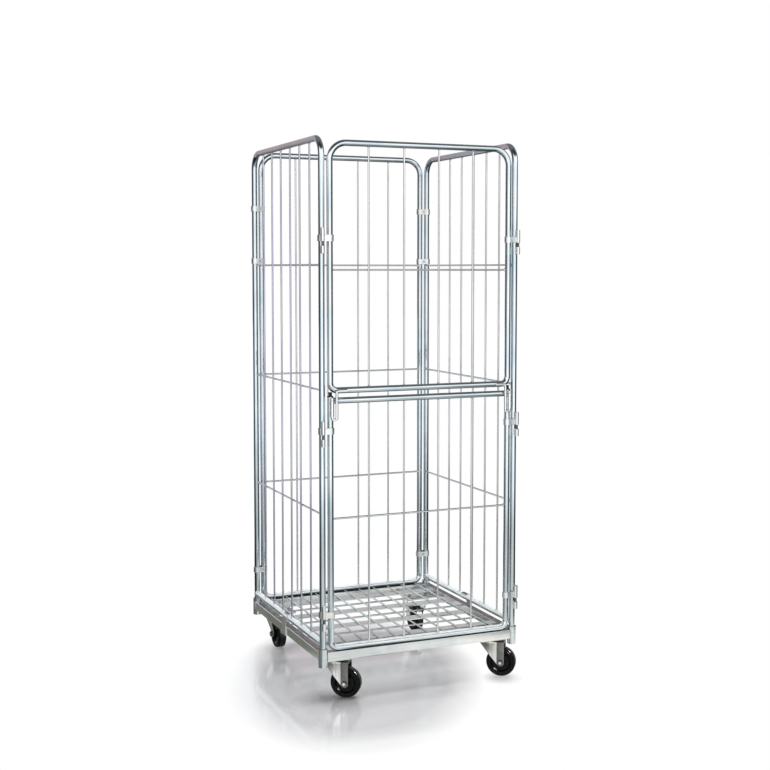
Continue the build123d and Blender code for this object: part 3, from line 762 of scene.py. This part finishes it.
def wire_panel(name, uprights, levels, finish, body, node):
    """Wires of one panel, a collar at each end and one where a level wire crosses an upright.

    uprights and levels are lists of (start, end); both run in the same plane but for their offset.
    """
    lines = [straight(start, end) for start, end in uprights + levels]
    round_bars(name + "_grid", lines, wire_diameter, wire_sides, finish, body, "wire_zinc", node)
    ends = []
    for start, end in uprights + levels:
        way = (Vector(end) - Vector(start)).normalized()
        ends += [(start, way), (end, -way)]
    collars(name + "_butt_welds", ends, butt_collar, body)
    crossings = []
    for foot, head in uprights:
        for start, end in levels:
            run = Vector(end) - Vector(start)
            share = (Vector(foot) - Vector(start)).dot(run) / run.length_squared
            on_level = Vector(start) + run * share
            on_upright = Vector((foot[0], foot[1], start[2]))
            crossings.append(((on_level + on_upright) / 2, (on_level - on_upright).normalized()))
    collars(name + "_cross_welds", crossings, squeeze_collar, body)


def saddle(x, y, z, way_x, way_y):
    """Weld bead round the end of a level tube that meets an upright tube of the same size."""
    points = []
    for step in range(saddle_steps):
        angle = 2 * math.pi * step / saddle_steps
        out = tube_radius * abs(math.sin(angle)) * saddle_proud
        side = tube_radius * math.cos(angle) * saddle_proud
        points.append((x + way_x * out + way_y * side, y + way_y * out + way_x * side,
                       z + tube_radius * math.sin(angle) * saddle_proud))
    return (points, [0.0] * len(points), True)


side_wire_count = 6
side_wire_pitch = 0.095
side_wire_y = spaced(side_wire_count, side_wire_pitch)
panel_level_z = [1.393, 0.999, 0.605]
post_beads = []
for hand, side, wire_finish in (("left", -1, left_wire_shaded_zinc), ("right", 1, right_wire_lit_zinc)):
    low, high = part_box(f"{hand}_panel_frame")
    x = (low.x + high.x) / 2
    front = low.y + tube_radius
    back = high.y - tube_radius
    top = high.z - tube_radius
    arch = [(x, front, low.z), (x, front, top), (x, back, top), (x, back, low.z)]
    rail = straight((x, front, side_rail_z), (x, back, side_rail_z))
    panel_lines = [(arch, [0.0, top_bend, top_bend, 0.0], False), rail]
    round_bars(f"{hand}_panel_tube", panel_lines, tube_diameter, tube_sides, tube_zinc, "container",
               "tube_zinc", f"{hand}_panel_frame")
    level_x = x - side * level_offset
    uprights = [((x, y, side_rail_z + wire_end), (x, y, top - wire_end)) for y in side_wire_y]
    levels = [((level_x, front + wire_end, z), (level_x, back - wire_end, z)) for z in panel_level_z]
    wire_panel(f"{hand}_panel", uprights, levels, wire_finish, "container", f"{hand}_panel_wires")
    post_beads += [saddle(x, front, side_rail_z, 0, 1), saddle(x, back, side_rail_z, 0, -1)]
round_bars("side_rail_welds", post_beads, bead_diameter, bead_sides, weld_metal, "container", "tube_zinc")


# Base welds: a bead down each joint between a beam and a corner socket, two on each beam's end.
# They are laid by hand with steel wire before the base is plated.

bead_inset = 0.002
bead_proud = 0.0008
socket_radius = 0.015


def upright_bead(x, y, low_z, high_z):
    """Line of a bead that runs straight up."""
    return straight((x, y, low_z), (x, y, high_z))


low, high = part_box("front_beam")
beam_low_z = low.z + bead_inset
beam_high_z = high.z - bead_inset
post_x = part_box("front_right_socket")[1].x - socket_radius
post_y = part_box("rear_right_socket")[1].y - socket_radius
beam_half = -low.y - post_y
socket_chord = math.sqrt(socket_radius ** 2 - beam_half ** 2) + bead_proud
base_beads = []
for i in (-1, 1):
    for j in (-1, 1):
        for off in (-beam_half, beam_half):
            for x, y in ((i * (post_x - socket_chord), j * post_y + off),
                         (i * post_x + off, j * (post_y - socket_chord))):
                base_beads.append(upright_bead(x, y, beam_low_z, beam_high_z))
round_bars("base_welds", base_beads, bead_diameter, bead_sides, weld_metal, "container", "base_zinc")


# Back panel: a closed loop of the same tube, tight at the bottom and wide at the top, standing on the
# rear beam and clamped to the rear posts. Its wires, and those of the gate, are one plating batch.

foot_bend = 0.024
front_wire_count = 4
front_wire_pitch = 0.122
front_wire_pale = (0.93, 0.94, 0.94, 1.0)
front_wire_cool = (0.82, 0.86, 0.87, 1.0)
front_wire_zinc = drawn_zinc("front_wire_zinc", front_wire_pale, front_wire_cool, (0.14, 0.24),
                             level_shade_share=level_shade_share)
front_wire_x = spaced(front_wire_count, front_wire_pitch)
low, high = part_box("back_panel_frame")
left = low.x + tube_radius
right = high.x - tube_radius
back_y = (low.y + high.y) / 2
foot = low.z + tube_radius
top = high.z - tube_radius


def closed_loop(y, foot, top):
    """Tube frame with tight lower corners and wide upper ones, its ends meeting half way up."""
    middle = (foot + top) / 2
    turns = [(left, middle), (left, foot), (right, foot), (right, middle), (right, top), (left, top)]
    points = [(x, y, z) for x, z in turns]
    return (points, [0.0, foot_bend, foot_bend, 0.0, top_bend, top_bend], True)


def front_wires(name, y, level_y, low_z, high_z, levels_z, body):
    """Wires of a panel that lies along the front, from its lower rail's line to its upper rail's."""
    uprights = [((x, y, low_z + wire_end), (x, y, high_z - wire_end)) for x in front_wire_x]
    levels = [((left + wire_end, level_y, z), (right - wire_end, level_y, z)) for z in levels_z]
    wire_panel(name, uprights, levels, front_wire_zinc, body, name + "_wires")


back_loop = [closed_loop(back_y, foot, top)]
round_bars("back_panel_tube", back_loop, tube_diameter, tube_sides, tube_zinc, "container", "tube_zinc",
           "back_panel_frame")
front_wires("back_panel", back_y, back_y - level_offset, foot, top, panel_level_z, "container")


# Brackets: clamps, straps, sleeves and hook pins, cut from strip and bar, folded, welded on and plated.
# Beads join each hook's barrel to its strap and each sleeve's lug to the post.

bracket_pale = (0.95, 0.95, 0.94, 1.0)
bracket_cool = (0.85, 0.88, 0.88, 1.0)
strip_lines = (30.0, 30.0, 260.0)
bracket_edge = 0.0005
strap_height = 0.020
tail_starts = 0.0002
tail_shade_full = 0.0006
tail_shade_end = 0.0450
tail_ends = 0.0500


def bracket_finish(name, rough, shade_map=None):
    """Zinc on strip and bar."""
    return zinc_plating(name, bracket_pale, bracket_cool, rough, strip_lines, shade_map)


def shaded_tails(feet):
    """Map of hook pins: 1 on the thin tails below their barrels' feet, painted grey as shade, 0 on the
    barrels.
    """

    def share(place):
        height = place.part("Z")
        return sum(height.span(foot - tail_starts, foot - tail_shade_full)
                   * height.span(foot - tail_ends, foot - tail_shade_end) for foot in feet)

    return share


bracket_zinc = bracket_finish("bracket_zinc", (0.28, 0.42))
barrel_rough = (0.24, 0.34)
barrel_zinc = bracket_finish("barrel_zinc", barrel_rough)
rod_zinc = bracket_finish("rod_zinc", (0.10, 0.20))
for node in ("rear_clamps", "left_side_strap", "right_side_strap"):
    eased(node, "container", "bracket_zinc", bracket_zinc, bracket_edge)
eased("hook_sleeves", "container", "bracket_zinc", barrel_zinc, bracket_edge)
low_strap, high_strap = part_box("lower_gate_hook_straps")
barrel_feet = {"lower_gate": [low_strap.z, high_strap.z - strap_height],
               "upper_gate": [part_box("upper_gate_hook_straps")[0].z]}
for half, feet in barrel_feet.items():
    # Painted shade on the thin tails of the hook pins.
    pin_zinc = bracket_finish(half + "_pin_zinc", barrel_rough, shaded_tails(feet))
    eased(half + "_hook_straps", half, "bracket_zinc", bracket_zinc, bracket_edge)
    eased(half + "_hook_pins", half, "bracket_zinc", pin_zinc, bracket_edge)
eased("retainer_sleeves", "lower_gate", "bracket_zinc", rod_zinc, bracket_edge)

stile_aside = 0.004
stile_ahead = 0.026
strap_bead_out = 0.01356
strap_bead_aside = 0.00513
strap_bead_low = 0.002
strap_bead_high = 0.018
lug_bead_out = 0.0100
lug_bead_aside = 0.0042
lug_bead_low = -0.036
lug_bead_high = -0.016
gate_out = math.atan2(stile_aside, stile_ahead)
lug_beads = []
for half, feet in barrel_feet.items():
    hook_beads = []
    for foot in feet:
        for side in (-1, 1):
            out = Vector((side * math.sin(gate_out), -math.cos(gate_out)))
            across = Vector((math.cos(gate_out), side * math.sin(gate_out)))
            post = Vector((side * post_x, -post_y))
            for way in (-1, 1):
                x, y = post + out * strap_bead_out + across * way * strap_bead_aside
                hook_beads.append(upright_bead(x, y, foot + strap_bead_low, foot + strap_bead_high))
                x, y = post + out * lug_bead_out + across * way * lug_bead_aside
                lug_beads.append(upright_bead(x, y, foot + lug_bead_high, foot + lug_bead_low))
    round_bars(half + "_hook_welds", hook_beads, bead_diameter, bead_sides, weld_metal, half, "bracket_zinc")
round_bars("sleeve_lug_welds", lug_beads, bead_diameter, bead_sides, weld_metal, "container", "bracket_zinc")


# Lower gate: a U of the same plated tube with a rail welded across near the top, four upright wires and
# one level wire. Stitches of weld hold the retainers' sleeves to its stiles.

gate_split_z = 0.968
lower_level_drop = 0.376
stitch_length = 0.012
stitch_inset = 0.003
stitch_aside = 0.0059
stitch_ahead = 0.0104
low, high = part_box("lower_gate_frame")
gate_y = (low.y + high.y) / 2
foot = low.z + tube_radius
bow = [(left, gate_y, high.z), (left, gate_y, foot), (right, gate_y, foot), (right, gate_y, high.z)]
lower_lines = [(bow, [0.0, foot_bend, foot_bend, 0.0], False)]
lower_lines.append(straight((left, gate_y, gate_split_z), (right, gate_y, gate_split_z)))
round_bars("lower_gate_tube", lower_lines, tube_diameter, tube_sides, tube_zinc, "lower_gate", "tube_zinc",
           "lower_gate_frame")
level_y = gate_y + level_offset
lower_level_z = gate_split_z - lower_level_drop
front_wires("lower_gate", gate_y, level_y, foot, gate_split_z, [lower_level_z], "lower_gate")
stile_beads = [saddle(left, gate_y, gate_split_z, 1, 0), saddle(right, gate_y, gate_split_z, -1, 0)]
sleeve_low, sleeve_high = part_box("retainer_sleeves")
stitches = ((sleeve_low.z + stitch_inset, stitch_length), (sleeve_high.z - stitch_inset, -stitch_length))
for stile in (left, right):
    for way in (-1, 1):
        x = stile + way * stitch_aside
        stile_beads += [upright_bead(x, gate_y - stitch_ahead, end, end + up) for end, up in stitches]
round_bars("lower_gate_welds", stile_beads, bead_diameter, bead_sides, weld_metal, "lower_gate", "tube_zinc")


# End plugs: black moulded plastic, pressed into the stile ends, with a matt grained skin and a buffer
# that the upper half stands on.

plug_skin = (0.016, 0.016, 0.017, 1.0)
plug_dust = (0.045, 0.044, 0.042, 1.0)
plug_edge = 0.0004


def plug_black():
    """Matt black moulding with a fine grain and a film of dust."""
    finish, shader, place = new_finish("plug_black")
    dust = place.noise(scale=120.0, detail=4.0, rough=0.6)
    colour = dust.span(0.45, 0.75).mix(plug_skin, plug_dust)
    normal = place.noise(scale=900.0, detail=3.0, rough=0.6).bump(strength=0.25, distance=0.0004)
    connect(shader, {"Base Color": colour, "Roughness": dust.span(0.3, 0.7, 0.42, 0.58), "Normal": normal})
    return finish


eased("gate_end_plugs", "lower_gate", "plug_black", plug_black(), plug_edge)


# Upper gate: a closed loop of the same plated tube, with four upright wires and one level wire welded
# in. It stands on the buffers of the lower half, with its hook pins in the sleeves on the posts.

upper_level_drop = 0.394
low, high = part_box("upper_gate_frame")
foot = low.z + tube_radius
top = high.z - tube_radius
upper_loop = [closed_loop(gate_y, foot, top)]
round_bars("upper_gate_tube", upper_loop, tube_diameter, tube_sides, tube_zinc, "upper_gate", "tube_zinc",
           "upper_gate_frame")
front_wires("upper_gate", gate_y, level_y, foot, top, [top - upper_level_drop], "upper_gate")


# Retainers: round steel bar bent into a J, with an upset head, plated as bright as the sleeve on the
# lower stile that it turns in.

for hand in ("left", "right"):
    eased(f"{hand}_retainer_rod", f"{hand}_retainer", "bracket_zinc", rod_zinc, bracket_edge)


# Studio: a white, lightly polished floor with soft shadows, a broad light on one side that fills the
# middle of every tube with white, and a dim room at both ends that draws the dark line along its edges.

lit_side = Vector((-0.39, -0.92, 0.0)).normalized()
right_end = Vector((0.92, -0.39, 0.0)).normalized()
black = (0.0, 0.0, 0.0, 1.0)
white = (1.0, 1.0, 1.0, 1.0)
room_white = (1.30, 1.31, 1.31, 1.0)
room_pale = (0.55, 0.58, 0.62, 1.0)
room_teal = (0.48, 0.55, 0.56, 1.0)
room_dark = (0.030, 0.045, 0.050, 1.0)
room_back = (0.46, 0.39, 0.42, 1.0)
room_low = [(-180, room_back), (-126, room_back), (-112, room_dark), (-58, room_dark), (-44, room_pale),
            (-26, room_pale), (-16, room_white), (42, room_white), (54, room_teal), (68, room_dark),
            (122, room_dark), (136, room_back), (180, room_back)]
room_high = [(-180, room_back), (-126, room_back), (-112, room_dark), (-72, room_dark), (-48, room_white),
             (75, room_white), (98, room_dark), (122, room_dark), (136, room_back), (180, room_back)]


def round_room(way, room):
    """Colour of the room in a direction, by its angle in degrees from the lit side."""
    turn = way.math("ARCTAN2", way.reach(right_end), way.reach(lit_side)).span(-math.pi, math.pi)
    stops = [((degrees + 180) / 360, colour) for degrees, colour in room]
    return way.node("ShaderNodeValToRGB", {"stops": stops}, {0: turn})


def oval(across, nearer, centre, reach):
    """0 in the middle of an oval on the floor, 1 on its edge."""
    u = (across - centre[0]) * (1.0 / reach[0])
    v = (nearer - centre[1]) * (1.0 / reach[1])
    return across.math("SQRT", u * u + v * v)


floor_half = 30.0
floor_grey = (0.56, 0.56, 0.57, 1.0)
floor_pale = (0.59, 0.59, 0.60, 1.0)
strip_dark = (0.19, 0.20, 0.17, 1.0)
strip_left = (0.80, 0.82, 0.82, 1.0)
strip_right = (1.14, 1.14, 1.10, 1.0)
shaded_oval = ((-0.08, 0.16), (0.42, 0.70))
dark_oval = ((0.09, 0.37), (0.14, 0.22))
wheel_shadow_offset = 0.03
wheel_shadow_edge = (0.02, 0.075)
strip_front = (0.0, 0.12)
strip_rear = (-0.42, -0.55)
strip_right_edge = (0.48, 0.62)
strip_left_edge = (-0.60, -0.48)
strip_left_slant = 0.3
strip_ends = (0.85, 1.30)
room_starts = (3.0, 5.0)


def floor_white():
    """White floor, shaded round the object. The zinc mirrors it as a lit strip and the room beyond."""
    finish, shader, place = new_finish("floor_white")
    tree = finish.node_tree
    speckle = place.noise(scale=2.0, detail=3.0, rough=0.5)
    tone = speckle.span(0.3, 0.7).mix(floor_grey, floor_pale)
    connect(shader, {"Base Color": tone, "Roughness": speckle.span(0.3, 0.7, 0.10, 0.12), "IOR": 2.2})
    nearer = place.reach(lit_side)
    across = place.reach(right_end)
    # Round the front right wheel's foot the white glow thins, so the floor's own shading and the wheel's
    # shadow show.
    wheel_foot = axle_lines["front_right"][0] * levelled + lit_side * wheel_shadow_offset
    wheel_shadow_patch = place.vector("DISTANCE", place, tuple(wheel_foot), "Value").span(*wheel_shadow_edge, 0.45, 1.0)
    shaded = oval(across, nearer, *shaded_oval).span(0.74, 1.04)
    edge = place.math("MINIMUM", shaded, wheel_shadow_patch)
    glow = place.node("ShaderNodeEmission", {}, {})
    faded = place.node("ShaderNodeMixShader", {}, {0: edge, 1: Shade(tree, shader.outputs[0]), 2: glow})
    away = place.vector("LENGTH", place, output="Value")
    beyond = (0.55 + 0.45 * away.span(*room_starts)).mix(black, round_room(place, room_low))
    # Painted light: in reflections the floor glows as a lit strip in front, with painted shade behind it and
    # in a patch between the front castors.
    bright = across.span(0.30, 0.62).mix(strip_left, strip_right)
    around = place.math("MAXIMUM", nearer.span(*strip_rear), across.span(*strip_right_edge))
    in_front = place.math("MAXIMUM", nearer.span(*strip_front), around)
    left_edge = (across - nearer * strip_left_slant).span(*strip_left_edge)
    lit = in_front * left_edge * oval(across, nearer, *dark_oval).span(0.75, 1.0)
    mirrored = away.span(*strip_ends).mix(lit.mix(strip_dark, bright), beyond)
    bounce = place.node("ShaderNodeEmission", {}, {"Color": mirrored})
    seen = place.node("ShaderNodeLightPath", {}, {}, "Is Camera Ray")
    shown = place.node("ShaderNodeMixShader", {}, {0: seen, 1: bounce, 2: faded})
    connect(tree.nodes["Material Output"], {"Surface": shown})
    return finish


floor_mesh = bpy.data.meshes.new("floor")
floor_corners = [(-floor_half, -floor_half, 0), (floor_half, -floor_half, 0), (floor_half, floor_half, 0),
                 (-floor_half, floor_half, 0)]
floor_mesh.from_pydata(floor_corners, [], [(0, 1, 2, 3)])
floor = bpy.data.objects.new("floor", floor_mesh)
bpy.context.scene.collection.objects.link(floor)
floor_mesh.materials.append(floor_white())

ceiling_dim = (0.17, 0.185, 0.19, 1.0)
ceiling_dark = (0.035, 0.045, 0.050, 1.0)
soft_grey = (0.14, 0.14, 0.145, 1.0)
world = bpy.data.worlds.new("studio")
bpy.context.scene.world = world
world.use_nodes = True
sky = world.node_tree
aim = Shade(sky).node("ShaderNodeTexCoord", {}, {}, "Generated")
rise = aim.part("Z")
walls = rise.span(0.07, 0.15).mix(round_room(aim, room_low), round_room(aim, room_high))
ceiling = aim.reach(lit_side).span(0.05, 0.30).mix(ceiling_dim, ceiling_dark)
room = rise.span(0.46, 0.66).mix(walls, ceiling)
soft = aim.node("ShaderNodeLightPath", {}, {}, "Is Diffuse Ray").mix(room, soft_grey)
backdrop = aim.node("ShaderNodeLightPath", {}, {}, "Is Camera Ray").mix(soft, white)
connect(sky.nodes["Background"], {"Color": backdrop})


def softbox(name, place, target, width, height, energy, mirrored):
    """Rectangular lamp that the camera doesn't see; only a mirrored one shows as a reflection."""
    lamp = bpy.data.lights.new(name, "AREA")
    lamp.shape = "RECTANGLE"
    lamp.size = width
    lamp.size_y = height
    lamp.energy = energy
    stand = bpy.data.objects.new(name, lamp)
    stand.location = place
    stand.rotation_euler = (Vector(target) - Vector(place)).to_track_quat("-Z", "Y").to_euler()
    stand.visible_camera = False
    stand.visible_glossy = mirrored
    bpy.context.scene.collection.objects.link(stand)
    return stand


softbox("high_softbox", place=(0.4, 0.1, 3.6), target=(0.0, 0.0, 0.2), width=3.2, height=3.2, energy=225.0,
        mirrored=False)
card = softbox("low_side_card", place=(-0.75, 1.8, 0.56), target=(-0.75, 0.0, 0.56), width=1.7, height=1.1,
               energy=4.0, mirrored=True)
card.data.color = (0.80, 0.97, 1.0)
glint = softbox("wheel_glint", place=(1.4, -1.8, 2.1), target=(-0.2, -0.3, 0.0), width=0.9, height=0.9,
                energy=1100.0, mirrored=True)
glint.visible_diffuse = False
glint.data.use_shadow = False
wheels_only = bpy.data.collections.new("wheels_only")
for corner in corners:
    wheels_only.objects.link(bpy.data.objects[f"{corner}_wheel_turned"])
glint.light_linking.receiver_collection = wheels_only

camera_tilt = 4.088
camera_turn = -23.086
bpy.context.scene.view_settings.view_transform = "Standard"
camera = bpy.data.cameras.new("photo_view")
camera.sensor_width = 36.0
camera.lens = 59.85
camera.shift_y = -0.0327
tripod = bpy.data.objects.new("photo_view", camera)
tripod.location = (-1.721, -4.088, 1.382)
tripod.rotation_euler = (math.radians(90.0 - camera_tilt), 0.0, math.radians(camera_turn))
bpy.context.scene.collection.objects.link(tripod)
bpy.context.scene.camera = tripod
